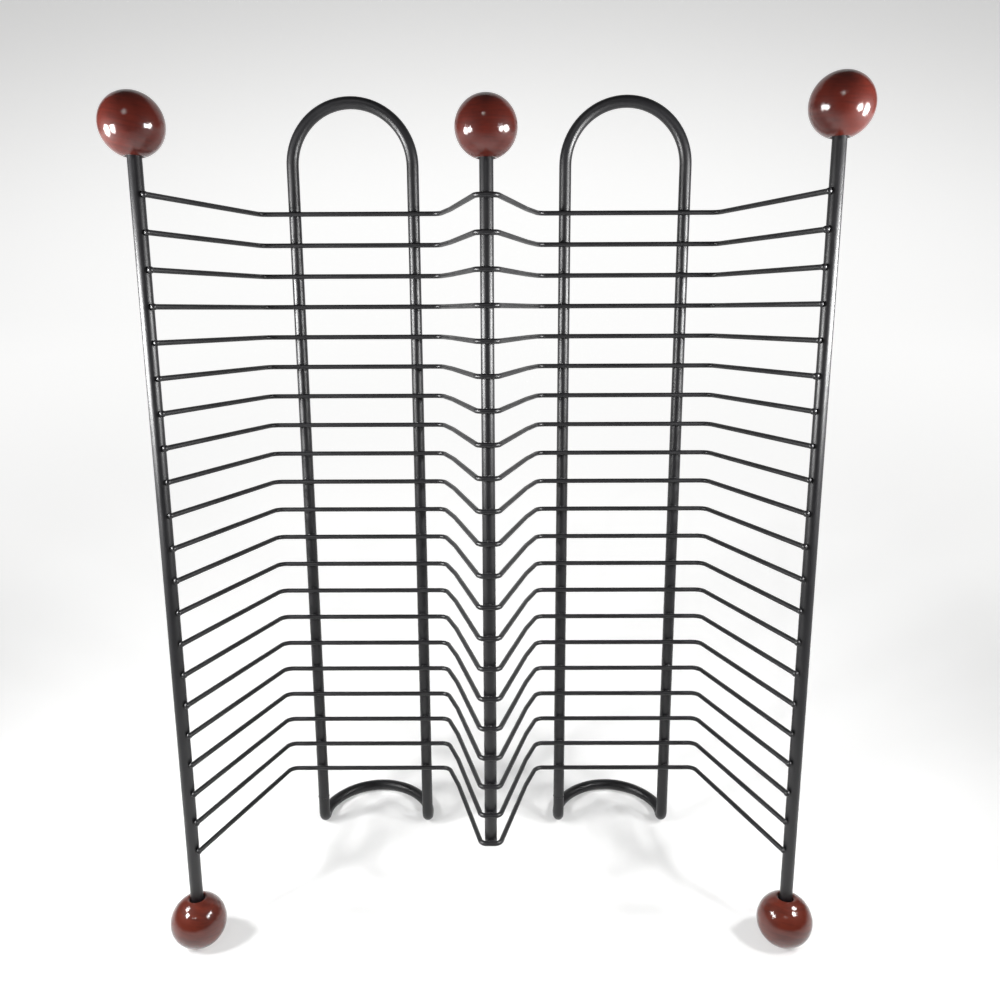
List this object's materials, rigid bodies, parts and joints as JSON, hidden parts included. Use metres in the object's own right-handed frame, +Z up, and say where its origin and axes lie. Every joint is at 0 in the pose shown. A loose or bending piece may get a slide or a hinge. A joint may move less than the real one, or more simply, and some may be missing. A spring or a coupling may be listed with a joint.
{
  "type": "cd tower rack",
  "caption": "Wire tower for compact disc cases: W-shaped shelf wires welded to posts and rear loops, leaning back on wooden ball feet.",
  "frame": {"origin": "middle of the whole rack's box in plan, on the floor it stands on", "axes": "+Z up, +Y from the open front towards the back that the rack leans to, +X to the right of someone facing the front"},
  "size_m": [0.334, 0.175, 0.4189],
  "materials": {
    "black_powder_coat": "satin black powder coat on steel rod and wire",
    "lacquered_wood": "red-brown stain under high gloss lacquer"
  },
  "bodies": {
    "root": {"left_post": "black_powder_coat", "right_post": "black_powder_coat", "centre_post": "black_powder_coat", "left_loop": "black_powder_coat", "right_loop": "black_powder_coat", "wire_01": "black_powder_coat", "wire_02": "black_powder_coat", "wire_03": "black_powder_coat", "wire_04": "black_powder_coat", "wire_05": "black_powder_coat", "wire_06": "black_powder_coat", "wire_07": "black_powder_coat", "wire_08": "black_powder_coat", "wire_09": "black_powder_coat", "wire_10": "black_powder_coat", "wire_11": "black_powder_coat", "wire_12": "black_powder_coat", "wire_13": "black_powder_coat", "wire_14": "black_powder_coat", "wire_15": "black_powder_coat", "wire_16": "black_powder_coat", "wire_17": "black_powder_coat", "wire_18": "black_powder_coat", "wire_19": "black_powder_coat", "wire_20": "black_powder_coat", "wire_21": "black_powder_coat", "top_ball_left": "lacquered_wood", "top_ball_centre": "lacquered_wood", "top_ball_right": "lacquered_wood", "foot_ball_left": "lacquered_wood", "foot_ball_right": "lacquered_wood"}
  },
  "joints": []
}
